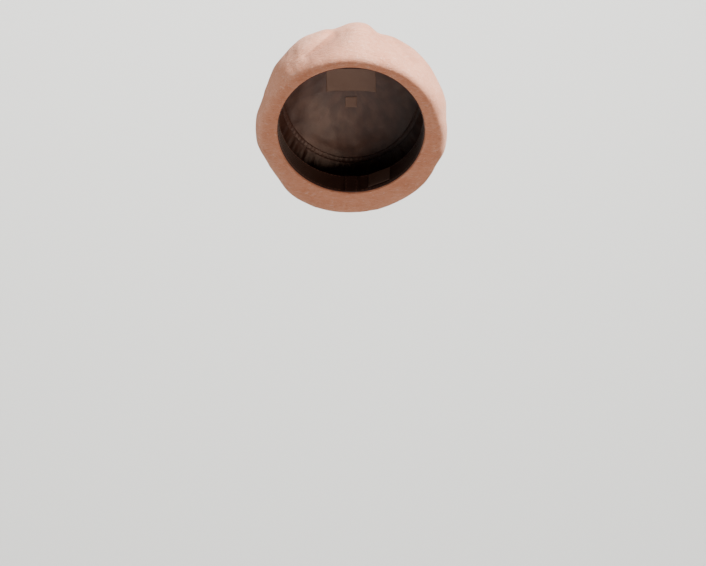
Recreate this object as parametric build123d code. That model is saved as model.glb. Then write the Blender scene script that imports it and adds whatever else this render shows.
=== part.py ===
from build123d import *
import os
from math import asin, atan2, cos, degrees, radians, sin

# A soft wool-felt beret, as it sits tilted back on a head. Millimetres.
# It is laid out in hat coordinates, with the head opening flat: X to the wearer's left, Y from the
# forehead to the nape, Z up into the crown, and the origin at the middle of the opening.
# Every piece is then leaned back by WEAR_TILT, so that in the part's own frame +Z is up.

# Head opening
HEAD_LENGTH = 197.0  # clear length inside the sweatband, forehead to nape
HEAD_WIDTH = 153.0  # clear width inside the sweatband, temple to temple
WEAR_TILT = 40.0  # degrees that the opening leans back from level

# Felt body
FELT = 2.2  # thickness of the fulled wool
HEM_WIDTH = 14.0  # felt turned up inside the opening
HEM_FOLD_RADIUS = 1.8  # rounding of the folded edge
FOLD_LAND = 0.3  # flat felt between the hem and the underside, inside the fold
FRONT_OVERHANG = 11.5  # how far the rim stands out past the opening's edge
SIDE_OVERHANG = 21.0
BACK_OVERHANG = 41.0
RIM_HEIGHT = 20.0  # widest line of the beret above the opening
CROWN_HEIGHT = 92.0  # top of the crown above the opening
CROWN_LEAN = 10.0  # degrees that the top of the crown leans to the back
CROWN_FULLNESS = 0.9  # 1 gives an elliptical crown, less gives a fuller one

# Sweatband, its join and what lies behind it
BAND = 0.8  # ribbon thickness
BAND_HEIGHT = 22.0
BAND_SETBACK = 1.0  # the ribbon's lower edge above the folded felt edge
SEW_GAP = 0.1  # between two layers that are sewn together
JOIN_TAB_WIDTH = 14.0
JOIN_TAB = 0.6  # thickness
TAPE_WIDTH = 8.0
TAPE = 0.6  # thickness of the stay tape
TAPE_CLEARANCE = 0.6  # stay tape above the felt that folds out under it
ELASTIC_MARGIN = 1.5  # from the elastic's edges to the hem and to the ribbon's top edge
ELASTIC = 0.9  # thickness

# Lining
LINING = 0.5  # thickness
LINING_GAP = 2.5  # between the felt and the lining
LINING_RISE = 8.0  # how far the lining climbs before it meets the crown wall
SEAM_ANGLE = 42.0  # crown angle of the seam between the side piece and the tip
SEAM_OPENING = 0.1  # degrees between the two edges at that seam
BINDING_WIDTH = 5.0
BINDING = 0.6  # thickness of the seam binding

# Labels
LABEL_WIDTH = 52.0
LABEL_DEPTH = 30.0
LABEL = 0.5  # thickness
SIZE_TAB_SIDE = 12.0
SIZE_TAB_SPACING = 8.0  # between the label and the size tab
CARE_TAG_WIDTH = 26.0
CARE_TAG_LENGTH = 17.0
CARE_TAG = 0.5  # thickness
CARE_TAG_DROP = 1.5  # its sewn edge below the sweatband's top edge
CARE_TAG_CLEARANCE = 0.4  # between the tag and the stitches on the sweatband
CARE_TAG_TURN = 24.0  # degrees round the oval from the back centre to the tag

# Threads
THREAD = 0.45  # diameter
STITCH = 2.9  # length of one stitch
STITCH_PITCH = 4.2
STITCH_INSET = 2.2  # a stitch row in from the edge that it sews
LABEL_STITCH_INSET = 1.6
JOIN_TAB_STITCHES = 5  # in each of the tab's two rows

# Stalk on the middle of the crown
STALK_HEIGHT = 9.0
STALK_RADIUS = 1.5
STALK_FOOT_RADIUS = 4.5
STALK_FOOT = 1.0  # thickness
STALK_TACKS = 6
TACK_SLOPE = 25.0  # degrees that a tack runs down over the foot's edge

FLARE_STEPS = 6
CROWN_STEPS = 10
POLE_ANGLE = 89.0  # the crown's last section, so small that the stalk covers it
MEETING = 0.01  # two lofted skins whose ends are closer than this meet without a ring

# Worked out from the sizes above
hem_inner = BAND + SEW_GAP  # outward from the clear opening
hem_outer = hem_inner + FELT
rim_length = HEAD_LENGTH + 2 * hem_outer + FRONT_OVERHANG + BACK_OVERHANG
rim_width = HEAD_WIDTH + 2 * hem_outer + 2 * SIDE_OVERHANG
rim_shift = (BACK_OVERHANG - FRONT_OVERHANG) / 2
band_top = BAND_SETBACK + BAND_HEIGHT
lining_inset = FELT + LINING_GAP
lining_face = lining_inset + LINING  # inset of the lining's inner face


def oval(length, width, shift=0.0, height=0.0, lean=0.0):
    """A flat oval across the hat, its front edge raised by lean degrees."""
    return Pos(0, shift, height) * Rot(X=-lean) * Ellipse(width / 2, length / 2)


def opening_oval(outward, height=0.0):
    """The clear opening's oval, made larger by outward all round."""
    return oval(HEAD_LENGTH + 2 * outward, HEAD_WIDTH + 2 * outward, height=height)


def ring(inner, outer, bottom, height):
    """A straight band round the opening, between two outward distances from its clear oval."""
    return extrude(opening_oval(outer, bottom) - opening_oval(inner, bottom), amount=height, dir=(0, 0, 1))


def crown_size(angle, inset):
    """Length, width, shift, height and lean of the crown's section at an angle up from the rim."""
    share = cos(radians(angle)) ** CROWN_FULLNESS
    rise = sin(radians(angle))
    return (
        (rim_length - 2 * inset) * share,
        (rim_width - 2 * inset) * share,
        rim_shift,
        RIM_HEIGHT + (CROWN_HEIGHT - RIM_HEIGHT - inset) * rise,
        CROWN_LEAN * rise,
    )


def crown_angle(height, inset):
    """The crown angle whose section has its middle at this height."""
    return degrees(asin((height - RIM_HEIGHT) / (CROWN_HEIGHT - RIM_HEIGHT - inset)))


def crown_ovals(inset, start, stop):
    angles = [start + (stop - start) * i / CROWN_STEPS for i in range(CROWN_STEPS + 1)]
    return [oval(*crown_size(angle, inset)) for angle in angles]


def dome_ovals(base, edge_height, rim_angle, stop_angle, inset):
    """Sections that flare from the opening's oval, base outward, and close in over the crown."""
    edge = (HEAD_LENGTH + 2 * base, HEAD_WIDTH + 2 * base, 0.0, edge_height, 0.0)
    rim = crown_size(rim_angle, inset)
    flare = []
    for step in range(FLARE_STEPS):
        turn = radians(90 * step / FLARE_STEPS)
        length, width, shift, _, lean = (e + (r - e) * sin(turn) for e, r in zip(edge, rim))
        height = edge_height + (rim[3] - edge_height) * (1 - cos(turn))
        flare.append(oval(length, width, shift, height, lean))
    return flare + crown_ovals(inset, rim_angle, stop_angle)


def solid_of(skins, closed):
    """A solid bounded by skins lofted in turn, each joined to the next by a ring unless they already meet.
    Closed, the last leads back to the first; otherwise the two open ends are capped."""
    faces, ends = [], []
    for ovals in skins:
        side = loft(ovals).faces().filter_by(GeomType.PLANE, reverse=True)[0]
        rims = [edge for edge in side.edges() if edge.is_closed]
        first = ovals[0].edges()[0] @ 0.5
        rims.sort(key=lambda edge: (edge @ 0.5 - first).length)
        faces.append(side)
        ends.append(rims)
    turns = zip(ends, ends[1:] + ends[:1]) if closed else zip(ends, ends[1:])
    for here, there in turns:
        if (here[-1] @ 0.5 - there[0] @ 0.5).length > MEETING:
            faces.append(Face.make_surface_from_curves(here[-1], there[0]))
    if not closed:
        faces += [Face(Wire([ends[0][0]])), Face(Wire([ends[-1][-1]]))]
    return Solid(Shell(faces))


def crown_band(inset, thickness, start, stop):
    """A sheet that follows the crown between two angles, inset from the felt's outer face."""
    outside = crown_ovals(inset, start, stop)
    inside = crown_ovals(inset + thickness, start, stop)
    return solid_of([outside[::-1], inside], closed=stop < POLE_ANGLE)


def crown_middle(inset):
    """Where the crown's centre line meets the face at this inset, with Z out of that face."""
    _, _, shift, height, lean = crown_size(90, inset)
    return Pos(0, shift, height) * Rot(X=-lean)


def tack():
    """One stitch of thread, along Z and centred."""
    return Cylinder(THREAD / 2, STITCH)


def band_row(height):
    """A row of stitches half sunk into the sweatband's inner face, which stops each side of the join tab."""
    edge = opening_oval(0, height).edges()[0]
    count = int(edge.length / STITCH_PITCH)
    stitches = []
    for i in range(count):
        middle, along = edge.position_at(i / count), edge.tangent_at(i / count)
        if middle.Y < 0 or abs(middle.X) > JOIN_TAB_WIDTH / 2 + STITCH:
            stitches.append(Plane(middle, z_dir=along).location * tack())
    return Compound(stitches)


def felt_shell():
    """The one-piece felt body: turned-in hem, folded edge, underside, rim and crown."""
    outside = dome_ovals(hem_outer, 0, 0, POLE_ANGLE, 0)
    inside = dome_ovals(hem_outer + FOLD_LAND, FELT, 0, POLE_ANGLE, FELT)
    hem_inside = [opening_oval(hem_inner, 0), opening_oval(hem_inner, HEM_WIDTH)]
    hem_outside = [opening_oval(hem_outer, HEM_WIDTH), opening_oval(hem_outer, FELT)]
    body = solid_of([outside[::-1], hem_inside, hem_outside, inside], closed=False)
    corner = opening_oval(hem_inner).edges()[0]
    fold = body.edges().sort_by(lambda edge: abs(edge.length - corner.length) + abs((edge @ 0.5).Z))[0]
    return fillet(fold, HEM_FOLD_RADIUS)


def sweatband():
    """A grosgrain ribbon stood on edge inside the hem, its ends butted at the back."""
    return ring(0, BAND, BAND_SETBACK, BAND_HEIGHT)


def sweatband_join_tab():
    """A short piece of the same ribbon sewn over the butted ends, on the ribbon's inner face."""
    strip = ring(-SEW_GAP - JOIN_TAB, -SEW_GAP, BAND_SETBACK, BAND_HEIGHT)
    back = Pos(0, HEAD_LENGTH / 2, band_top / 2) * Box(JOIN_TAB_WIDTH, HEAD_LENGTH / 2, 2 * band_top)
    return strip & back


def join_tab_stitches():
    """Upright stitches near both sides of the join tab, half sunk into its face."""
    stitches = []
    for side in (-1, 1):
        x = side * (JOIN_TAB_WIDTH / 2 - LABEL_STITCH_INSET)
        reach = 1 - (2 * x / (HEAD_WIDTH - 2 * (SEW_GAP + JOIN_TAB))) ** 2
        y = (HEAD_LENGTH / 2 - SEW_GAP - JOIN_TAB) * reach**0.5
        for i in range(JOIN_TAB_STITCHES):
            height = BAND_SETBACK + BAND_HEIGHT * (i + 0.5) / JOIN_TAB_STITCHES
            stitches.append(Pos(x, y, height) * tack())
    return Compound(stitches)


def hem_stay_tape():
    """A twill tape inside the fold, which keeps the opening from stretching."""
    inner = hem_outer + SEW_GAP
    return ring(inner, inner + TAPE, FELT + TAPE_CLEARANCE, TAPE_WIDTH)


def sizing_elastic():
    """A flat elastic behind the sweatband, above the hem, which draws the opening to the head."""
    inner = BAND + SEW_GAP
    room = band_top - HEM_WIDTH
    return ring(inner, inner + ELASTIC, HEM_WIDTH + ELASTIC_MARGIN, room - 2 * ELASTIC_MARGIN)


def lining_side():
    """The satin side piece, from the sweatband's top edge out to the crown wall and up to the seam."""
    skins = []
    for inset, above in (lining_inset, 0), (lining_face, LINING):
        meeting = crown_angle(band_top + LINING_RISE + above, inset)
        ovals = dome_ovals(BAND + SEW_GAP, band_top + above, meeting, SEAM_ANGLE, inset)
        skins += [ovals[: FLARE_STEPS + 1], ovals[FLARE_STEPS:]]
    outer_flare, outer_wall, inner_flare, inner_wall = skins
    return solid_of([outer_flare, outer_wall, inner_wall[::-1], inner_flare[::-1]], closed=True)


def lining_tip():
    """The round satin top of the lining."""
    return crown_band(lining_inset, LINING, SEAM_ANGLE + SEAM_OPENING, POLE_ANGLE)


def lining_seam_binding():
    """A bias binding over the seam between the lining's side and tip."""
    reach = degrees(BINDING_WIDTH / (CROWN_HEIGHT - RIM_HEIGHT)) / 2
    return crown_band(lining_face + SEW_GAP, BINDING, SEAM_ANGLE - reach, SEAM_ANGLE + reach)


def on_lining(width, depth, toward_back):
    """A flat patch of cloth that lies on the lining's tip."""
    sheet = crown_band(lining_face + SEW_GAP, LABEL, SEAM_ANGLE, POLE_ANGLE)
    window = Box(width, depth, CROWN_HEIGHT)
    return sheet & (crown_middle(lining_face) * Pos(0, toward_back, 0) * window)


def maker_label():
    return on_lining(LABEL_WIDTH, LABEL_DEPTH, 0)


def size_tab():
    return on_lining(SIZE_TAB_SIDE, SIZE_TAB_SIDE, (LABEL_DEPTH + SIZE_TAB_SIDE) / 2 + SIZE_TAB_SPACING)


def label_stitches():
    """A stitch in from each corner of the maker's label, along its short ends."""
    label = maker_label()
    across = LABEL_WIDTH / 2 - LABEL_STITCH_INSET
    along = LABEL_DEPTH / 2 - LABEL_STITCH_INSET - STITCH / 2
    stitches = []
    for x in (-across, across):
        for y in (-along, along):
            path = crown_middle(lining_face) * Pos(x, y, 0)
            hit = label.find_intersection_points(Axis(path.position, path.z_axis.direction))[0][0]
            stitches.append(Pos(hit) * Rot(X=90 - CROWN_LEAN) * tack())
    return Compound(stitches)


def care_tag_place():
    """The tag's sewn edge: X along it and Y out to the sweatband, which curves away behind the tag's middle."""
    turn = radians(90 - CARE_TAG_TURN)
    across, along = HEAD_WIDTH / 2, HEAD_LENGTH / 2
    spot = Vector(across * cos(turn), along * sin(turn), band_top - CARE_TAG_DROP)
    facing = atan2(sin(turn) / along, cos(turn) / across)
    tightest_radius = across**2 / along
    hollow = (CARE_TAG_WIDTH / 2) ** 2 / (2 * tightest_radius)
    inward = hollow + THREAD / 2 + CARE_TAG_CLEARANCE + CARE_TAG / 2
    return Pos(spot) * Rot(Z=degrees(facing) - 90) * Pos(0, -inward, 0)


def care_tag():
    """A blank satin tag, caught by its top edge and free to swing up."""
    flap = Box(CARE_TAG_WIDTH, CARE_TAG, CARE_TAG_LENGTH, align=(Align.CENTER, Align.CENTER, Align.MAX))
    return care_tag_place() * flap


def crown_stalk():
    """The short felt stalk, on a round foot, at the middle of the crown."""
    foot = Cylinder(STALK_FOOT_RADIUS, STALK_FOOT, align=(Align.CENTER, Align.CENTER, Align.MIN))
    stem = Cylinder(STALK_RADIUS, STALK_HEIGHT, align=(Align.CENTER, Align.CENTER, Align.MIN))
    stalk = foot + stem
    tip = stalk.edges().filter_by(GeomType.CIRCLE).sort_by(Axis.Z)[-1]
    return crown_middle(0) * fillet(tip, STALK_RADIUS * 0.8)


def stalk_stitches():
    """Tacks that run down over the edge of the stalk's foot into the crown."""
    place = Pos(STALK_FOOT_RADIUS, 0, STALK_FOOT) * Rot(Y=90 + TACK_SLOPE)
    tacks = [Rot(Z=360 * i / STALK_TACKS) * place * tack() for i in range(STALK_TACKS)]
    return crown_middle(0) * Compound(tacks)


PIECES = {
    "felt_shell": felt_shell,
    "crown_stalk": crown_stalk,
    "stalk_stitches": stalk_stitches,
    "hem_stay_tape": hem_stay_tape,
    "sweatband": sweatband,
    "sweatband_join_tab": sweatband_join_tab,
    "join_tab_stitches": join_tab_stitches,
    "band_edge_stitches": lambda: band_row(BAND_SETBACK + STITCH_INSET),
    "lining_seam_stitches": lambda: band_row(band_top - STITCH_INSET / 2),
    "sizing_elastic": sizing_elastic,
    "lining_side": lining_side,
    "lining_tip": lining_tip,
    "lining_seam_binding": lining_seam_binding,
    "maker_label": maker_label,
    "label_stitches": label_stitches,
    "size_tab": size_tab,
    "care_tag": care_tag,
}

os.makedirs("parts", exist_ok=True)
worn = Rot(X=-WEAR_TILT)
for name, make in PIECES.items():
    export_step(worn * make(), f"parts/{name}.step")
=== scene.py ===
import math
import bpy
import numpy as np
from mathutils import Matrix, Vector


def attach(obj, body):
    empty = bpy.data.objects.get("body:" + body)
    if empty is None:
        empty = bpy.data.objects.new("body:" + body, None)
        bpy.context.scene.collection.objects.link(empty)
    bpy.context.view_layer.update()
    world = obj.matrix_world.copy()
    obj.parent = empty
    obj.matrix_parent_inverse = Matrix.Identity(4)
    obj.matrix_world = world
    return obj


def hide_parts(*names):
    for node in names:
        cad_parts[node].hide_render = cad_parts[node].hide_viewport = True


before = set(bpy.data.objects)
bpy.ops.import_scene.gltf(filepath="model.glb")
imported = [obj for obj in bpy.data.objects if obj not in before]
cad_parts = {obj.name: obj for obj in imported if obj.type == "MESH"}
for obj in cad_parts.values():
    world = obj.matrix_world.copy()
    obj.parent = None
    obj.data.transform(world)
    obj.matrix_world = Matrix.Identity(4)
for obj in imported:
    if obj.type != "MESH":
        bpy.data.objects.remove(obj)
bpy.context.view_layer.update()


# Felt body: one piece of fulled merino, knitted, shrunk and steamed over a round block.
# The rim is folded in by hand to make the hem, and the soft crown keeps the dents of being worn.

lean_back = math.radians(40)  # of the head opening as worn, from level


def worn(hat):
    """Hat coordinates in mm, with the head opening flat, to the row frame in metres."""
    hat = np.asarray(hat, float)
    x, y, z = hat[..., 0], hat[..., 1], hat[..., 2]
    return np.stack([x, y * math.cos(lean_back) + z * math.sin(lean_back),
                     z * math.cos(lean_back) - y * math.sin(lean_back)], -1) / 1000


head_across, head_along = 76.5, 98.5  # half the clear opening inside the sweatband, in mm


def opening(turn, outward, height):
    """Points round the head opening's oval, outward from the clear line of the sweatband."""
    turn = np.asarray(turn, float)
    return np.stack([(head_across + outward) * np.cos(turn), (head_along + outward) * np.sin(turn),
                     np.full(turn.shape, 1.0) * height], -1)


rim_across, rim_along = 100.6, 127.85  # half the crown at its widest line, in mm
rim_shift, rim_height = 14.75, 20  # how far that line's middle lies behind the opening's and over it
crown_rise, crown_lean = 72, math.radians(10)  # from the widest line to the stalk
crown_top = rim_height + crown_rise
crown_curve = 0.9  # a rounder shoulder than an ellipse's below 1


def crown(turn, climb, inset):
    """Points round the blocked crown, climb degrees up from its widest line, inset from its outside."""
    share = max(math.cos(math.radians(climb)), 0.0) ** crown_curve
    rise = math.sin(math.radians(climb))
    lean = crown_lean * rise
    across = (rim_across - inset) * share * np.cos(turn)
    along = (rim_along - inset) * share * np.sin(turn)
    return np.stack([across, rim_shift + along * math.cos(lean),
                     rim_height + (crown_rise - inset) * rise - along * math.sin(lean)], -1)


def flare(turn, outward, edge, climb, inset, share, fullness=2.0):
    """Points round the underside, which curves out from the opening's oval to the crown."""
    swing = math.radians(90 * share)
    near, far = opening(turn, outward, edge), crown(turn, climb, inset)
    point = near + (far - near) * math.sin(swing) ** (2 / fullness)
    point[:, 2] = near[:, 2] + (far[:, 2] - near[:, 2]) * (1 - math.cos(swing) ** (2 / fullness))
    return point


def skin(name, rows, wrap=True, ring=False, caps=(), threads=None, more=()):
    """A mesh through rows of points in metres: wrap joins each row's ends, ring joins the last row to
    the first, and caps are the middle points that close the first and last rows. Threads are the
    lengths in mm along and across the cloth for its weave, and more lists further faces."""
    rows = np.asarray(rows, float)
    count, width = rows.shape[:2]
    points = rows.reshape(-1, 3)
    across = np.arange(width if wrap else width - 1)
    down = np.arange(count if ring else count - 1)
    here, below = (down * width)[:, None], ((down + 1) % count * width)[:, None]
    a, b = here + across, here + (across + 1) % width
    c, d = below + (across + 1) % width, below + across
    faces = np.stack([a, b, c, d], -1).reshape(-1, 4).tolist()
    for middle, row, order in zip(caps, (0, count - 1), (1, -1)):
        points = np.vstack([points, middle])
        hub = len(points) - 1
        faces += [[hub, row * width + (i + 1) % width, row * width + i][::order] for i in range(width)]
    faces += [list(face) for face in more]
    mesh = bpy.data.meshes.new(name)
    mesh.from_pydata(points.tolist(), [], faces)
    if threads is not None:
        u, v = [np.asarray(t, float) for t in threads]
        grid = [u[None, across] + 0 * v[down, None], u[None, across + 1] + 0 * v[down, None]]
        low, high = v[down, None] + 0 * u[None, across], v[down + 1, None] + 0 * u[None, across]
        corners = np.stack([np.stack([grid[0], low], -1), np.stack([grid[1], low], -1),
                            np.stack([grid[1], high], -1), np.stack([grid[0], high], -1)], 2)
        weave = mesh.uv_layers.new(name="threads")
        flat = np.zeros((len(mesh.loops), 2))
        flat[:corners.size // 2] = corners.reshape(-1, 2)
        weave.data.foreach_set("uv", flat.ravel())
    mesh.validate()
    mesh.shade_smooth()
    piece = bpy.data.objects.new(name, mesh)
    bpy.context.scene.collection.objects.link(piece)
    return piece


felt = 2.2
felt_turns = np.linspace(0, 2 * math.pi, 361)[:-1]
roll_steps = 0.5 - 0.5 * np.cos(np.pi * np.linspace(0.06, 0.955, 26))
felt_outer = [crown(felt_turns, climb, 0) for climb in np.linspace(89, 0, 74)]
felt_outer += [flare(felt_turns, 3.1, 0, 0, 0, share, 3.2) for share in roll_steps[::-1]]
fold_round = 1.8
for bend in np.linspace(0, math.pi / 2, 7):
    felt_outer += [opening(felt_turns, 0.9 + fold_round * (1 - math.sin(bend)),
                           fold_round * (1 - math.cos(bend)))]
felt_outer += [opening(felt_turns, 0.9, height) for height in (4, 7, 10, 13)]
felt_inner = [opening(felt_turns, outward, height)  # the cut edge of the hem
              for outward, height in ((1.3, 13.8), (2.2, 14), (3.0, 13.7))]
felt_inner += [opening(felt_turns, 3.1, height) for height in (12, 9, 6, 3.2)]
felt_inner += [flare(felt_turns, 3.4, felt, 0, felt, share, 3.2) for share in roll_steps]
felt_inner += [crown(felt_turns, climb, felt) for climb in np.linspace(0, 89, 74)]
felt_rows = worn(np.array(felt_outer + felt_inner))

# how far in mm the worn outline stands out from the block, every 10 degrees round from the wearer's left
outline_lift = np.array([
    -0.5, 1.6, 1.6, 0.4, -0.9, -1.8, -2.9, -5.9, -1.7, -1.9, -4.7, -3.2,
    -0.9, -1.5, -2.2, -2.5, -3.7, -3.6, -0.7, 0.1, -1.3, -8.1, -20.6, 0.0,
    0.0, 0.0, 0.0, 0.0, 0.0, 0.0, 0.0, 0.0, 0.0, -1.8, 0.8, 0.9])
outline_middle = 15  # the height in mm that its angles are taken about
over_middle = felt_rows[..., 2] * 1000 - outline_middle
spokes = np.degrees(np.arctan2(over_middle, felt_rows[..., 0] * 1000)) % 360
reach = np.hypot(felt_rows[..., 0] * 1000, over_middle)
block_outline = np.array([reach[np.abs((spokes - d + 180) % 360 - 180) < 1.5].max() for d in range(360)])


def round_curve(values, degrees):
    """A smooth closed curve through values at even steps, read at any angle."""
    step = 360 / len(values)
    place = np.asarray(degrees) / step
    first = np.floor(place).astype(int)
    t = place - first
    p = [np.take(values, (first + k) % len(values)) for k in (-1, 0, 1, 2)]
    return 0.5 * (2 * p[1] + (p[2] - p[0]) * t + (2 * p[0] - 5 * p[1] + 4 * p[2] - p[3]) * t * t
                  + (3 * p[1] - p[0] - 3 * p[2] + p[3]) * t ** 3)


def stroke(points, path, depths, width):
    """A soft fold along a path of (x, z) points: its depths in mm at both ends, fading over width."""
    best, along = np.full(points.shape[:-1], 1e9), np.zeros(points.shape[:-1])
    for step, ((x0, z0), (x1, z1)) in enumerate(zip(path, path[1:])):
        dx, dz = x1 - x0, z1 - z0
        x, z = points[..., 0] - x0, points[..., 2] - z0
        t = np.clip((x * dx + z * dz) / (dx * dx + dz * dz), 0, 1)
        away = np.hypot(x - t * dx, z - t * dz)
        along = np.where(away < best, (step + t) / (len(path) - 1), along)
        best = np.minimum(best, away)
    return (depths[0] + (depths[1] - depths[0]) * along) * np.exp(-(best / width) ** 2)


def ripple(points, seed, size, count=24):
    """Smooth irregular waves about size mm long, from -1 to 1."""
    dice = np.random.default_rng(seed)
    total = np.zeros(points.shape[:-1])
    for _ in range(count):
        way = dice.normal(size=3)
        way *= dice.uniform(0.7, 1.4) / np.linalg.norm(way)
        total += np.sin(points @ way * 2 * math.pi / size + dice.uniform(0, 6.28))
    return total / count ** 0.5 / 1.6


def smooth(low, high, value):
    """0 where value is at low, 1 at high, smoothly."""
    t = np.clip((value - low) / (high - low), 0, 1)
    return t * t * (3 - 2 * t)


def row_normals(rows, wrap=True):
    """Normals of the skin through rows."""
    along = np.roll(rows, -1, 1) - np.roll(rows, 1, 1) if wrap else np.gradient(rows, axis=1)
    down = np.gradient(rows, axis=0)
    normal = np.cross(down, along)
    return normal / np.maximum(np.linalg.norm(normal, axis=-1, keepdims=True), 1e-9)


felt_folds = [
    ([(-19, 105), (-29, 94), (-39, 85), (-47, 78)], (-3.8, -3.0), 4.5),  # crease to the right temple
    ([(-11, 102), (-21, 91), (-32, 80)], (-3.0, -2.2), 9),  # the hollow beside it
    ([(-28, 104), (-39, 94), (-51, 83)], (1.5, 1.5), 6),  # the panel outside it
    ([(-54, 84), (-62, 74), (-72, 66)], (1.3, 1.3), 12),
    ([(9, 103), (7, 92)], (2.0, 1.4), 14),  # the puff at the top
    ([(-76, 68), (-62, 73), (-40, 76), (-16, 77)], (0.6, 0.8), 9),  # the lip over the right temple
    ([(-84, 42), (-72, 56)], (0.7, 0.5), 12),
    ([(27, 106), (34, 95), (39, 84)], (-2.0, -0.8), 8),  # dip on the other side of the puff
    ([(46, 93), (57, 80), (66, 69)], (-4.0, -4.0), 5.5),  # long dimple over the left temple
    ([(66, 84), (79, 62)], (1.0, 1.3), 8),
    ([(36, 78), (56, 63), (72, 42)], (1.1, 1.4), 8),
    ([(86, 30), (90, 8)], (0.7, 0.7), 9),
]


def settle(points, out, held=0.0, clear=0.0, wrap=True):
    """Rows of points in metres on the block, moved as the soft crown settles: its folds and outline.
    Out is 1 for a face turned away from the head and -1 for one turned to it. Nothing below held mm
    over the opening moves, and over the next clear mm it starts to."""
    rows = np.asarray(points) * 1000
    height = rows[..., 1] * math.sin(lean_back) + rows[..., 2] * math.cos(lean_back)
    depth = rows[..., 1] * math.cos(lean_back) - rows[..., 2] * math.sin(lean_back)
    from_opening = np.hypot(rows[..., 0] / 80, depth / 102) - 1
    free = np.maximum(smooth(0.015, 0.12, from_opening), smooth(14.5, 26, height))
    free *= smooth(8, 30, np.linalg.norm(rows - worn([0, rim_shift, crown_top]) * 1000, axis=-1))
    if clear:
        free *= smooth(held, held + clear, height)
    push = 0.5 * ripple(rows, 4, 46) + 0.8 * ripple(rows, 9, 90) + 0.16 * ripple(rows, 31, 13, 60)
    front = 1 - smooth(0, 46, rows[..., 1])
    for path, deep, width in felt_folds:
        push += front * stroke(rows, path, deep, width)
    around = np.degrees(np.arctan2(rows[..., 2] - outline_middle, rows[..., 0])) % 360
    out_to = np.hypot(rows[..., 0], rows[..., 2] - outline_middle)
    edge = np.interp(around, np.arange(361), np.append(block_outline, block_outline[0]))
    shift = row_normals(rows, wrap) * (push * free * out)[..., None]
    lift = round_curve(outline_lift, around) * free * np.clip(out_to / edge, 0, 1) ** 5
    lift *= 1 - 0.85 * smooth(35, 80, rows[..., 1])
    shift[..., 0] += lift * np.cos(np.radians(around))
    shift[..., 2] += lift * np.sin(np.radians(around))
    return (rows + shift) / 1000


felt_rows = settle(felt_rows, np.where(np.arange(len(felt_rows)) < len(felt_outer), 1, -1)[:, None])
felt_body = skin("felt_body", felt_rows,
                 caps=[worn([0, rim_shift, crown_top]), worn([0, rim_shift, crown_top - felt])])


class Wire:
    """One socket of a finish, so that sums on it can be written as Python."""

    def __init__(self, socket):
        self.socket = socket

    def node(self, kind, settings=None, sockets=None, out=0):
        """Any node: its type, its settings, set first, and the values or links of its sockets."""
        tree = self.socket.id_data
        made = tree.nodes.new(kind)
        for key, value in (settings or {}).items():
            setattr(made, key, value)
        for key, value in (sockets or {}).items():
            if isinstance(value, Wire):
                tree.links.new(value.socket, made.inputs[key])
            else:
                made.inputs[key].default_value = value
        return Wire(made.outputs[out])

    def sum(self, how, other, turned=False):
        """A sum of this and another socket or number, the other first where turned."""
        pair = (other, self) if turned else (self, other)
        if self.socket.type == "VECTOR":
            pair = [(p, p, p) if isinstance(p, (int, float)) else p for p in pair]
            return self.node("ShaderNodeVectorMath", {"operation": how}, dict(enumerate(pair)))
        return self.node("ShaderNodeMath", {"operation": how}, dict(enumerate(pair)))

    def __add__(self, other): return self.sum("ADD", other)
    def __radd__(self, other): return self.sum("ADD", other, True)
    def __sub__(self, other): return self.sum("SUBTRACT", other)
    def __rsub__(self, other): return self.sum("SUBTRACT", other, True)
    def __mul__(self, other): return self.sum("MULTIPLY", other)
    def __rmul__(self, other): return self.sum("MULTIPLY", other, True)
    def __truediv__(self, other): return self.sum("DIVIDE", other)
    def __pow__(self, other): return self.sum("POWER", other)

    def sine(self):
        return self.node("ShaderNodeMath", {"operation": "SINE"}, {0: self})

    def threads(self):
        """The place on a cloth, in mm along and across its threads."""
        return self.node("ShaderNodeTexCoord", out=2)

    def part(self, axis):
        return self.node("ShaderNodeSeparateXYZ", None, {0: self}, out=axis)

    def noise(self, scale, detail=3.0, rough=0.55, bend=0.0):
        return self.node("ShaderNodeTexNoise", None, {"Vector": self, "Scale": scale, "Detail": detail,
                                                      "Roughness": rough, "Distortion": bend})

    def between(self, low, high):
        """0 where this is at low, 1 at high, smoothly."""
        return self.node("ShaderNodeMapRange", {"interpolation_type": "SMOOTHSTEP"},
                         {"Value": self, "From Min": low, "From Max": high})

    def dye(self, first, second):
        """The first colour where this is 0, the second where it is 1."""
        first, second = [c if isinstance(c, Wire) else (*c, 1) for c in (first, second)]
        return self.node("ShaderNodeMix", {"data_type": "RGBA"}, {0: self, 6: first, 7: second}, out=2)


def finish(name, **fixed):
    """A new finish, its shader with the fixed numbers set, and the place on the piece in metres."""
    made = bpy.data.materials.new(name)
    made.use_nodes = True
    shader = made.node_tree.nodes["Principled BSDF"]
    for key, value in fixed.items():
        shader.inputs[key.replace("_", " ").title().replace("Ior", "IOR")].default_value = value
    start = Wire(shader.outputs[0]).node("ShaderNodeTexCoord", out=3)
    return made, shader, start


def feed(shader, height=None, strength=0.5, distance=0.001, **varying):
    """Links what changes over the surface to the shader: its colour, roughness and relief."""
    tree = shader.id_data
    for key, value in varying.items():
        tree.links.new(value.socket, shader.inputs[key.replace("_", " ").title()])
    if height is not None:
        relief = height.node("ShaderNodeBump", None, {"Height": height, "Strength": strength,
                                                      "Distance": distance})
        tree.links.new(relief.socket, shader.inputs["Normal"])


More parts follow.
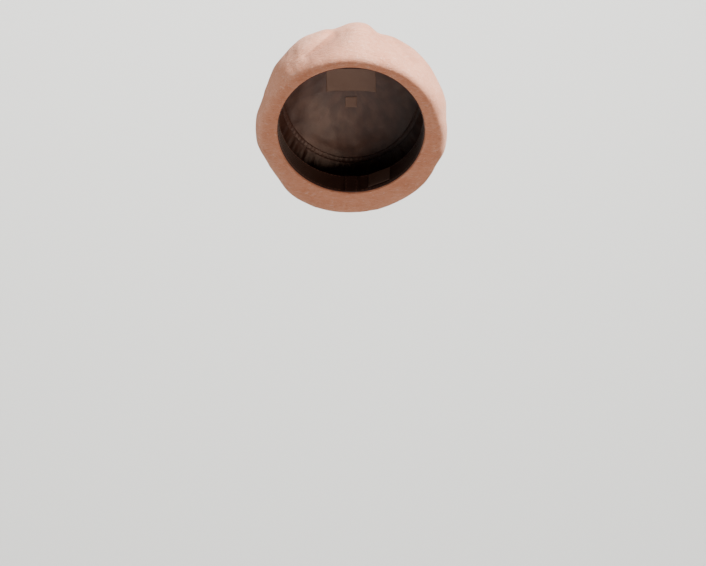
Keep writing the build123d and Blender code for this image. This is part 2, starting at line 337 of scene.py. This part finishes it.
wool, wool_shader, at = finish("wool_felt", roughness=0.92, sheen_weight=0.24, sheen_roughness=0.45,
                               sheen_tint=(1.0, 0.76, 0.66, 1), specular_ior_level=0.2)
cloud = at.noise(38, 4, 0.6)
mottle = at.noise(260, 4, 0.65, 0.6)
nap = (at * (1.0, 1.0, 0.55)).noise(1500, 3, 0.7, 1.6)
hairs = (at * (0.5, 1.0, 1.0)).noise(3800, 2, 0.6, 2.5)
wool_colour = cloud.between(0.3, 0.7).dye((0.595, 0.250, 0.150), (0.675, 0.312, 0.200))
wool_colour = (mottle.between(0.35, 0.75) * 0.35).dye(wool_colour, (0.750, 0.405, 0.285))
wool_colour = (hairs.between(0.55, 0.8) * 0.4).dye(wool_colour, (0.780, 0.560, 0.470))
wool_colour = (nap.between(0.5, 0.25) * 0.35).dye(wool_colour, (0.390, 0.168, 0.105))
drift = (at * (0.30, 0.8, 1.0)).noise(420, 3, 0.65, 1.3)
wool_colour = (drift.between(0.52, 0.72) * 0.50).dye(wool_colour, (0.790, 0.530, 0.430))
wool_colour = (drift.between(0.46, 0.30) * 0.46).dye(wool_colour, (0.420, 0.180, 0.112))


def painted_shade_band(x0, z0, x1, z1, fade):
    """The mask of a painted shade: 1 along the lower side of a line over the front of the crown, gone fade
    metres away from it.
    """
    long = math.hypot(x1 - x0, z1 - z0)
    dx, dz = (x1 - x0) / long, (z1 - z0) / long
    across, up = at.part(0), at.part(2)
    beside = (across - x0) * -dz + (up - z0) * dx
    along = (across - x0) * dx + (up - z0) * dz
    ends_in = along.between(-0.008, 0.006) * along.between(long + 0.008, long - 0.006)
    near = beside.between(-0.0015, 0.0015) * beside.between(fade, 0.2 * fade)
    return near * ends_in * at.part(1).between(0.06, 0.03)


# Painted shade: the felt is darkened below the crease to the right temple, and more faintly below the
# dimple over the left temple. The same mask also strengthens the bump there.
crease_painted_shade = painted_shade_band(-0.0170, 0.1040, -0.0480, 0.0770, 0.024)
dimple_painted_shade = painted_shade_band(0.0430, 0.0960, 0.0660, 0.0690, 0.010)
painted_shade_and_bump = crease_painted_shade * 0.9 + dimple_painted_shade * 0.35
wool_colour = (painted_shade_and_bump * (0.45 + drift)).dye(wool_colour, (0.405, 0.170, 0.104))
feed(wool_shader, nap * 0.5 + hairs * 0.2 + mottle * 0.8 + drift * (1.2 + painted_shade_and_bump), 0.75, 0.0010,
     base_color=wool_colour, roughness=0.86 + nap * 0.14)
felt_body.data.materials.append(wool)
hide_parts("felt_shell")
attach(felt_body, "beret")


# Stalk: the short felt stalk that a beret is knitted down to, on a small round foot at the middle of
# the crown. It is the same felt as the body and is held by six tacks over the edge of its foot.

def on_stalk(local):
    """The stalk's own mm, with Z along it and its foot on the crown, to hat coordinates."""
    local = np.asarray(local, float)
    x, y, z = local[..., 0], local[..., 1], local[..., 2]
    return np.stack([x, rim_shift + y * math.cos(crown_lean) + z * math.sin(crown_lean),
                     crown_top + z * math.cos(crown_lean) - y * math.sin(crown_lean)], -1)


# its radius in mm at each height, from the foot up
stalk_profile = [(4.1, -0.25), (4.5, 0.1), (4.5, 0.6), (4.2, 0.95), (3.4, 1.05), (2.5, 1.2),
                 (1.9, 1.7), (1.6, 2.6), (1.5, 3.6), (1.46, 4.8), (1.5, 6), (1.52, 7),
                 (1.46, 8), (1.2, 8.6), (0.7, 8.9), (0.3, 9)]
stalk_turns = np.linspace(0, 2 * math.pi, 49)[:-1]
stalk_rows = np.array([[(r * math.cos(t), r * math.sin(t), z) for t in stalk_turns]
                       for r, z in stalk_profile])
stalk_rows[..., 1] += 0.02 * np.maximum(stalk_rows[..., 2] - 1, 0) ** 2 / 2
swell = 1 + 0.06 * ripple(stalk_rows, 2, 3.1) + 0.03 * ripple(stalk_rows, 5, 1.1)
stalk_rows[..., :2] *= swell[..., None]
stalk = skin("crown_stalk_felt", worn(on_stalk(stalk_rows)),
             caps=[worn(on_stalk([0, 0, -0.25])), worn(on_stalk([0, 0.64, 9.05]))])
stalk.data.materials.append(wool)
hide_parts("crown_stalk")
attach(stalk, "beret")


def thread_row(name, middles, ways, outs, bow=0.12):
    """Stitches of twisted two-ply thread, 2.9 mm long, each bowed up a little off the cloth."""
    steps, sides = np.linspace(-1, 1, 13), np.linspace(0, 2 * math.pi, 11)[:-1]
    verts, faces = [], []
    for middle, way, out in zip(*(np.asarray(v, float).reshape(-1, 3) for v in (middles, ways, outs))):
        way = way / np.linalg.norm(way)
        out = out - way * (out @ way)
        out /= np.linalg.norm(out)
        side = np.cross(way, out)
        base = len(verts)
        for s in steps:
            centre = middle + way * s * 1.45 + out * (bow * (1 - s * s) - 0.02)
            thin = 0.35 + 0.65 * (1 - s ** 6)
            for a in sides:
                r = 0.225 * thin * (0.86 + 0.14 * abs(math.cos(a - 4.2 * s)))
                verts.append(centre + (out * math.sin(a) + side * math.cos(a)) * r)
        n = len(sides)
        for ring in range(base, base + (len(steps) - 1) * n, n):
            faces += [[ring + j, ring + (j + 1) % n, ring + n + (j + 1) % n, ring + n + j]
                      for j in range(n)]
        faces += [[base + j for j in range(n)][::-1], [len(verts) - n + j for j in range(n)]]
    mesh = bpy.data.meshes.new(name)
    mesh.from_pydata(worn(verts).tolist(), [], faces)
    mesh.shade_smooth()
    piece = bpy.data.objects.new(name, mesh)
    bpy.context.scene.collection.objects.link(piece)
    return piece


sewing, sewing_shader, at = finish("sewing_thread", roughness=0.55, sheen_weight=0.25)
plies = at.noise(5200, 2, 0.6)
feed(sewing_shader, plies, 0.4, 0.0001,
     base_color=plies.between(0.3, 0.7).dye((0.17, 0.085, 0.06), (0.28, 0.15, 0.11)))
tack_turns = np.radians(np.arange(0, 360, 60))
slope = math.radians(25)
tack_out = np.stack([np.cos(tack_turns), np.sin(tack_turns), 0 * tack_turns], -1)
tack_mid = on_stalk(tack_out * 4.5 + np.array([0, 0, 1.0]))
tack_way = on_stalk(tack_out * math.cos(slope) - np.array([0, 0, math.sin(slope)])) - on_stalk([0, 0, 0])
tack_up = on_stalk(tack_out * math.sin(slope) + np.array([0, 0, math.cos(slope)])) - on_stalk([0, 0, 0])
stalk_tacks = thread_row("stalk_tacks", tack_mid, tack_way, tack_up, bow=0.05)
rose_thread, rose_shader, at = finish("rose_thread", roughness=0.6, sheen_weight=0.2)
plies = at.noise(5200, 2, 0.6)
feed(rose_shader, plies, 0.4, 0.0001,
     base_color=plies.between(0.3, 0.7).dye((0.42, 0.22, 0.18), (0.56, 0.33, 0.27)))
stalk_tacks.data.materials.append(rose_thread)
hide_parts("stalk_stitches")
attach(stalk_tacks, "beret")


# Sweatband: a grosgrain ribbon, ribbed across its width, stood on edge inside the hem and sewn to it
# along its lower edge. Its ends meet at the back, under a short tab of the same ribbon.

def even_turns(outward, count, first=math.pi / 2):
    """Turns that divide the opening's oval evenly by length, from the back."""
    fine = np.linspace(first, first + 2 * math.pi, 7201)
    path = opening(fine, outward, 0)
    length = np.concatenate([[0], np.cumsum(np.linalg.norm(np.diff(path, axis=0), axis=1))])
    return np.interp(np.linspace(0, length[-1], count + 1)[:-1], length, fine), length[-1]


def cloth(name, front, back, wrap=False, threads=None):
    """A closed sheet of cloth between two faces, each rows of points in metres."""
    front, back = np.asarray(front), np.asarray(back)
    count, width = front.shape[:2]
    sides = []
    if not wrap:
        for r in range(count - 1):
            f, g, h, k = r, r + 1, 2 * count - 2 - r, 2 * count - 1 - r
            sides.append([f * width, g * width, h * width, k * width])
            sides.append([i * width + width - 1 for i in (k, h, g, f)])
    if threads is not None:
        u, v = threads
        threads = (u, np.concatenate([v, v[::-1], v[:1]]))
    return skin(name, np.concatenate([front, back[::-1]]), wrap, ring=True, threads=threads, more=sides)


ribs, rib_samples = 610, 4
band_turns, band_length = even_turns(0.4, ribs * rib_samples)
rib_wave = 0.5 - 0.5 * np.cos(2 * math.pi * np.arange(ribs * rib_samples) / rib_samples)
band_heights = np.array([1.0, 1.25, 1.8, 4, 8, 12, 16, 20, 22.2, 22.75, 23.0])
edge_round = np.array([0.26, 0.12, 0, 0, 0, 0, 0, 0, 0, 0.12, 0.26])


def band_face(outward, facing_in):
    """One face of the ribbon: each rib stands proud, and the woven edges are a little thinner."""
    rows = []
    for height, inset in zip(band_heights, edge_round):
        proud = 0.11 * rib_wave * (1 - inset / 0.4)
        rows.append(worn(opening(band_turns, outward + facing_in * (inset - proud), height)))
    return rows


band_u = np.linspace(0, band_length, ribs * rib_samples + 1)
sweatband = cloth("sweatband_ribbon", band_face(0.08, 1), band_face(0.72, -1), wrap=True,
                  threads=(band_u, band_heights))
ribbon, ribbon_shader, at = finish("grosgrain_ribbon", roughness=0.55, sheen_weight=0.22,
                                   sheen_roughness=0.35)
at = at.threads()
weft = (at * (4.4, 9.0, 1.0)).noise(1.0, 2, 0.6)
ends = (at.part(1) * 21.0).sine()
tone = weft.between(0.3, 0.7).dye((0.050, 0.024, 0.018), (0.092, 0.046, 0.034))
feed(ribbon_shader, weft * 0.6 + ends * 0.4, 0.35, 0.00012, base_color=tone, roughness=0.5 + weft * 0.16)
sweatband.data.materials.append(ribbon)
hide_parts("sweatband")
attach(sweatband, "beret")

tab_across = np.linspace(-7, 7, 61)
tab_turns = math.pi / 2 - tab_across / 76.1
tab_wave = 0.5 - 0.5 * np.cos(2 * math.pi * tab_across / 0.93)
tab_heights = np.array([1.0, 1.3, 4, 8, 12, 16, 20, 22.7, 23.0])
tab_thin = np.clip(np.abs(tab_across) - 6.6, 0, 0.4) * 0.5
tab_front = [worn(opening(tab_turns, -0.7 + 0.09 * (1 - tab_wave) + tab_thin, h)) for h in tab_heights]
tab_back = [worn(opening(tab_turns, -0.12 - tab_thin * 0.2, h)) for h in tab_heights]
join_tab = cloth("sweatband_join_tab_ribbon", tab_front, tab_back,
                 threads=(np.linspace(0, 14, 61), tab_heights))
join_tab.data.materials.append(ribbon)
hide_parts("sweatband_join_tab")
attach(join_tab, "beret")

tape_turns, tape_length = even_turns(3.5, 720)
tape_heights = np.array([2.8, 3.2, 5, 7, 9, 10.4, 10.8])
tape = cloth("hem_tape_twill", [worn(opening(tape_turns, 3.24, h)) for h in tape_heights],
             [worn(opening(tape_turns, 3.78, h)) for h in tape_heights], wrap=True,
             threads=(np.linspace(0, tape_length, 721), tape_heights))
twill, twill_shader, at = finish("cotton_twill", roughness=0.85, sheen_weight=0.15)
at = at.threads()
wales = ((at.part(0) + at.part(1)) * 10.0).sine()
slub = (at * (3.0, 8.0, 1.0)).noise(1.0, 3, 0.6)
feed(twill_shader, wales * 0.5 + slub, 0.4, 0.00015,
     base_color=slub.between(0.3, 0.7).dye((0.48, 0.44, 0.37), (0.62, 0.58, 0.50)),
     roughness=0.8 + slub * 0.12)
tape.data.materials.append(twill)
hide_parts("hem_stay_tape")
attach(tape, "beret")

elastic_turns, elastic_length = even_turns(1.35, 1440)
elastic_heights = np.array([15.5, 15.8, 16.4, 17.1, 17.8, 18.5, 19.2, 19.9, 20.6, 21.2, 21.5])
cords = 0.12 * np.abs(np.sin(math.pi * (elastic_heights - 15.5) / 1.5))
braid = 0.03 * np.cos(np.arange(1440) * 2 * math.pi / 4)
elastic_front, elastic_back = [
    [worn(opening(elastic_turns, outward - facing_in * (cord - braid), height))
     for height, cord in zip(elastic_heights, cords)]
    for outward, facing_in in ((1.08, 1), (1.62, -1))]
elastic = cloth("sizing_elastic_braid", elastic_front, elastic_back, wrap=True,
                threads=(np.linspace(0, elastic_length, 1441), elastic_heights))
rubbered, rubbered_shader, at = finish("braided_elastic", roughness=0.7, sheen_weight=0.1)
at = at.threads()
plait = (at * (5.0, 3.0, 1.0)).noise(1.0, 2, 0.5)
feed(rubbered_shader, plait, 0.4, 0.0001,
     base_color=plait.between(0.3, 0.7).dye((0.55, 0.52, 0.47), (0.70, 0.67, 0.62)),
     roughness=0.62 + plait * 0.15)
elastic.data.materials.append(rubbered)
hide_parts("sizing_elastic")
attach(elastic, "beret")


# Band and tab stitches: two rows of lockstitch run round the ribbon, one near its lower edge that holds
# it to the hem and one at its top that holds the lining. The tab has an upright row near each side.

def band_stitches(name, height):
    """A row right round the ribbon at one height, but for the tab."""
    turns = even_turns(0, 132, first=0)[0]
    places = opening(turns, -0.05, height)
    keep = (places[:, 1] < 0) | (np.abs(places[:, 0]) > 9.9)
    ways = np.stack([-head_across * np.sin(turns), head_along * np.cos(turns), 0 * turns], -1)
    outs = -np.stack([np.cos(turns) / head_across, np.sin(turns) / head_along, 0 * turns], -1)
    row = thread_row(name, places[keep], ways[keep], outs[keep])
    row.data.materials.append(sewing)
    return row


edge_row = band_stitches("band_edge_lockstitch", 3.2)
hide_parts("band_edge_stitches")
top_row = band_stitches("lining_seam_lockstitch", 21.9)
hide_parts("lining_seam_stitches")
tab_x = np.repeat([-5.4, 5.4], 5)
tab_proud = 0.7
tab_y = (head_along - tab_proud) * np.sqrt(1 - (tab_x / (head_across - tab_proud)) ** 2)
tab_z = np.tile(1 + 22 * (np.arange(5) + 0.5) / 5, 2)
tab_row = thread_row("join_tab_lockstitch", np.stack([tab_x, tab_y, tab_z], -1),
                     [[0, 0, 1]] * 10, [[0, -1, 0]] * 10)
tab_row.data.materials.append(sewing)
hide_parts("join_tab_stitches")
for row in (edge_row, top_row, tab_row):
    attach(row, "beret")


# Lining: dark satin in two pieces, a gathered strip that runs from the ribbon's top edge out to the
# crown, and an oval tip. They are sewn right sides together and the seam is bound with a bias strip.

def tip_point(across, along, inset):
    """A point on the crown's shape, in hat coordinates, across and along in mm from its middle."""
    share = np.clip(np.hypot(across / (rim_across - inset), along / (rim_along - inset)), 0, 1)
    climb = np.arccos(share ** (1 / crown_curve))
    lean = crown_lean * np.sin(climb)
    return np.stack([across, rim_shift + along * np.cos(lean),
                     rim_height + (crown_rise - inset) * np.sin(climb) - along * np.sin(lean)], -1)


tip_across, tip_along = 73.4, 94.3  # half the tip out to its seam, in mm


def slack(across, along):
    """How far in mm the tip hangs in from its stretched line: soft folds, flat at the seam and label."""
    edge = np.hypot(across / tip_across, along / tip_along)
    here = np.stack([across, along * 0.8, 0 * across], -1)
    quiet = smooth(0.32, 0.55, np.maximum(np.abs(across) / 75, np.abs(along - 10) / 85))
    return (0.9 + 0.9 * ripple(here, 21, 34, 16)) * smooth(1.0, 0.8, edge) * (0.25 + 0.75 * quiet)


satin, satin_shader, at = finish("lining_satin", roughness=0.34, sheen_weight=0.12,
                                 specular_ior_level=0.55)
at = at.threads()
floats = (at * (1.6, 12.0, 1.0)).noise(1.0, 2, 0.6)
shade = (at * 0.05).noise(1.0, 3, 0.5)
satin_colour = shade.between(0.3, 0.7).dye((0.062, 0.027, 0.020), (0.105, 0.050, 0.036))
satin_colour = (floats.between(0.45, 0.8) * 0.35).dye(satin_colour, (0.180, 0.095, 0.070))
feed(satin_shader, floats, 0.25, 0.00008, base_color=satin_colour, roughness=0.30 + floats * 0.16)

side_turns, side_length = even_turns(12, 900)
band_top, side_inset = 23, 4.7
rim_climb, seam_climb = 9.4, 42.0  # degrees up the crown where the wall starts and where the tip is sewn
side_steps = [("flare", share) for share in np.linspace(0, 0.96, 22)]
side_steps += [("wall", climb) for climb in np.linspace(rim_climb, seam_climb, 26)]
gather = np.zeros(900)
dice = np.random.default_rng(8)
for waves in range(38, 96, 3):
    gather += np.sin(waves * side_turns + dice.uniform(0, 6.28)) * dice.uniform(0.4, 1)
gather /= 4.6


def side_face(thick):
    """One face of the strip, its gathers eased in from both of its seams."""
    rows = []
    for kind, step in side_steps:
        if kind == "flare":
            ease = smooth(0.0, 0.35, step)
            point = flare(side_turns, 0.9, band_top + thick, rim_climb + thick * 0.45,
                          side_inset + thick, step)
        else:
            ease = smooth(seam_climb, 33.0, step)
            point = crown(side_turns, step, side_inset + thick)
        inward = np.array([0, 10, 40.0]) - point
        inward[:, 2] *= 0.6
        inward /= np.linalg.norm(inward, axis=1, keepdims=True)
        rows.append(worn(point + inward * (gather * 0.75 * ease + 0.5 * ease)[:, None]))
    return settle(rows, -1, band_top, 10)


side_v = np.concatenate([np.linspace(0, 34, 22), 34 + np.linspace(1.5, 42, 26)])
lining_side = cloth("lining_side_satin", side_face(0), side_face(0.4), wrap=True,
                    threads=(np.linspace(0, side_length, 901), side_v))
tip_turns = np.linspace(0, 2 * math.pi, 361)[:-1]
tip_shares = np.linspace(0.985, 0.02, 60)


def tip_rows(inset):
    """One face of the tip, from its seam in to its middle."""
    rows = []
    for share in tip_shares:
        across, along = tip_across * share * np.cos(tip_turns), tip_along * share * np.sin(tip_turns)
        point = tip_point(across, along, inset)
        point[:, 2] -= slack(across, along)
        rows.append(worn(point))
    return settle(rows, -1)


tip_insets = (4.75, 5.15)
centre = np.array(0.0)
tip_middle = [worn(tip_point(centre, centre, inset) - np.array([0, 0, float(slack(centre, centre))]))
              for inset in tip_insets]
tip_upper, tip_lower = [tip_rows(inset) for inset in tip_insets]
lining_tip = skin("lining_tip_satin", np.concatenate([tip_upper[::-1], tip_lower]), caps=tip_middle,
                  threads=(np.linspace(0, 470, 361), np.linspace(-94, 94, 120)))
bias_turns = even_turns(0, 900)[0]
bias_climbs = np.linspace(40.1, 43.9, 7)
pucker = 0.10 * np.sin(np.arange(900) * 2 * math.pi / 9) + 0.05 * np.sin(np.arange(900) * 2 * math.pi / 25)
roll = np.array([0.0, 0.16, 0.24, 0.26, 0.24, 0.16, 0.0])
bias_outer = [worn(crown(bias_turns, climb, 5.32 - 0.1 * r)) for climb, r in zip(bias_climbs, roll)]
bias_inner = [worn(crown(bias_turns, climb, 5.5 + r + pucker * (r > 0)))
              for climb, r in zip(bias_climbs, roll)]
binding = cloth("lining_seam_bias", settle(bias_outer, -1), settle(bias_inner, -1), wrap=True,
                threads=(np.linspace(0, 430, 901), np.linspace(0, 5, 7)))
for piece, node in ((lining_side, "lining_side"), (lining_tip, "lining_tip"),
                    (binding, "lining_seam_binding")):
    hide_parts(node)
    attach(piece, "beret")
    piece.data.materials.append(satin)


# Labels: a blank woven label tacked at its four corners to the middle of the tip, and a small blank
# size tab behind it. A care tag is caught by its top edge near the back and swings from the ribbon.

def patch(name, across, along, thick, flap=0.0):
    """A rectangle of woven tape that lies on the lining tip."""
    x, y = np.meshgrid(across, along)
    curl = flap * (np.abs(x / across.max()) ** 6 + np.abs((y - along.mean()) / np.ptp(along) * 2) ** 6)
    faces = []
    for inset in (5.30, 5.30 + thick):
        point = tip_point(x, y, inset)
        point[..., 2] -= slack(x, y) + curl
        faces.append(settle(worn(point), -1, wrap=False))
    return cloth(name, faces[0], faces[1], threads=(across, along))


label_tape, label_shader, at = finish("woven_label", roughness=0.48, sheen_weight=0.2)
at = at.threads()
picks = (at.part(1) * 24.0).sine()
grain = (at * (9.0, 3.0, 1.0)).noise(1.0, 3, 0.6)
label_colour = grain.between(0.3, 0.7).dye((0.150, 0.088, 0.066), (0.215, 0.135, 0.104))
feed(label_shader, picks * 0.3 + grain, 0.3, 0.0001, base_color=label_colour,
     roughness=0.42 + grain * 0.15)
label = patch("maker_label_woven", np.linspace(-26, 26, 79), np.linspace(-15, 15, 46), 0.35, 0.12)
tab = patch("size_tab_woven", np.linspace(-6, 6, 25), np.linspace(23, 35, 25), 0.35, 0.2)
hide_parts("maker_label")
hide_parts("size_tab")
tack_x, tack_y = np.repeat([-24.4, 24.4], 2), np.tile([-11.95, 11.95], 2)
tack_at = tip_point(tack_x, tack_y, 5.72)
tack_at[:, 2] -= slack(tack_x, tack_y)
label_tacks = thread_row("label_corner_tacks", tack_at, [[0, 0.985, -0.174]] * 4,
                         [[0, -0.174, -0.985]] * 4, bow=0.08)
label_tacks.data.materials.append(sewing)
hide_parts("label_stitches")

tag_turn = math.radians(66)
tag_half, tag_drop = 13, 17
tag_spot = np.array([head_across * math.cos(tag_turn), head_along * math.sin(tag_turn), 21.5])
tag_out = np.array([math.cos(tag_turn) / head_across, math.sin(tag_turn) / head_along, 0])
tag_out /= np.linalg.norm(tag_out)
tag_along = np.array([tag_out[1], -tag_out[0], 0])
band_bow = tag_half ** 2 / (2 * head_across ** 2 / head_along)  # of the ribbon behind the tag's width
tag_hinge = tag_spot - tag_out * (band_bow + 0.225 + 0.4 + 0.25)  # half a stitch, air, half the tag
tag_x, tag_z = np.meshgrid(np.linspace(-tag_half, tag_half, 53), np.linspace(0, -tag_drop, 35))
tag_down = tag_z / -tag_drop
tag_curl = 0.10 * np.sin(tag_x / 4.5) * tag_down - 0.35 * tag_down ** 2 * (tag_x / tag_half) ** 2
tag_faces = [worn(tag_hinge + tag_x[..., None] * tag_along + tag_z[..., None] * np.array([0, 0, 1.0])
                  + (tag_curl + off)[..., None] * tag_out) for off in (-0.17, 0.17)]
care_tag = cloth("care_tag_woven", tag_faces[0], tag_faces[1],
                 threads=(np.linspace(0, 2 * tag_half, 53), np.linspace(0, tag_drop, 35)))
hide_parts("care_tag")
for piece in (label, tab, care_tag):
    piece.data.materials.append(label_tape)
for piece in (label, tab, label_tacks):
    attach(piece, "beret")
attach(care_tag, "care_tag")


# Stage: a pale floor far below that sweeps up to a pale wall, lit by its own light. The key comes from
# above on the wearer's left, with a weak fill from the right and a warm glow from below, as off a face
# and shoulders. The camera is straight in front, a little low.

floor, bend_start, bend_round = -3.2, 8.5, 0.9
sweep_line = [(-9.5, floor), (bend_start, floor)]
sweep_line += [(bend_start + bend_round * math.sin(a), floor + bend_round * (1 - math.cos(a)))
               for a in np.linspace(0, math.pi / 2, 16)]
sweep_line += [(bend_start + bend_round, 5.5)]
sweep = skin("studio_sweep", [[(x, y, z) for x in (-9, 9)] for y, z in sweep_line], wrap=False)
pale = finish("studio_paper", roughness=0.9, base_color=(0.72, 0.725, 0.71, 1))[0]
sweep.data.materials.append(pale)
bpy.context.scene.world = bpy.data.worlds.new("studio")
bpy.context.scene.world.use_nodes = True
sky = bpy.context.scene.world.node_tree.nodes["Background"]
sky.inputs["Color"].default_value = (0.80, 0.81, 0.80, 1)
sky.inputs["Strength"].default_value = 0.02
daylight, glow = (1.0, 0.985, 0.96), (1.0, 0.68, 0.50)
at_beret, at_wall = Vector((0, 0.03, 0.02)), Vector((0, 9.4, -1.2))
for name, spot, aim, width, watts, tint in (
        ("key_light", (1.55, -1.12, 1.90), at_beret, 0.50, 325, daylight),
        ("fill_light", (-2.3, -0.9, 1.4), at_beret, 1.5, 66, daylight),
        ("bounce_light", (0.75, -1.25, -1.15), at_beret, 1.5, 15, glow),
        ("wall_light", (0.0, 5.6, 3.0), at_wall, 3.0, 655, daylight)):
    lamp = bpy.data.lights.new(name, "AREA")
    lamp.shape, lamp.size, lamp.energy, lamp.color = "DISK", width, watts, tint
    holder = bpy.data.objects.new(name, lamp)
    holder.location = spot
    holder.rotation_euler = (aim - Vector(spot)).to_track_quat("-Z", "Y").to_euler()
    bpy.context.scene.collection.objects.link(holder)
camera_back, view_width = 7.0, 0.7413
lens = bpy.data.cameras.new("camera")
lens.sensor_width, lens.lens = 36, 36 * camera_back / view_width
lens.clip_end = 50
camera = bpy.data.objects.new("camera", lens)
camera.location = (0.0021, -camera_back, -0.1592)
camera.rotation_euler = (math.pi / 2, 0, 0)
bpy.context.scene.collection.objects.link(camera)
bpy.context.scene.camera = camera
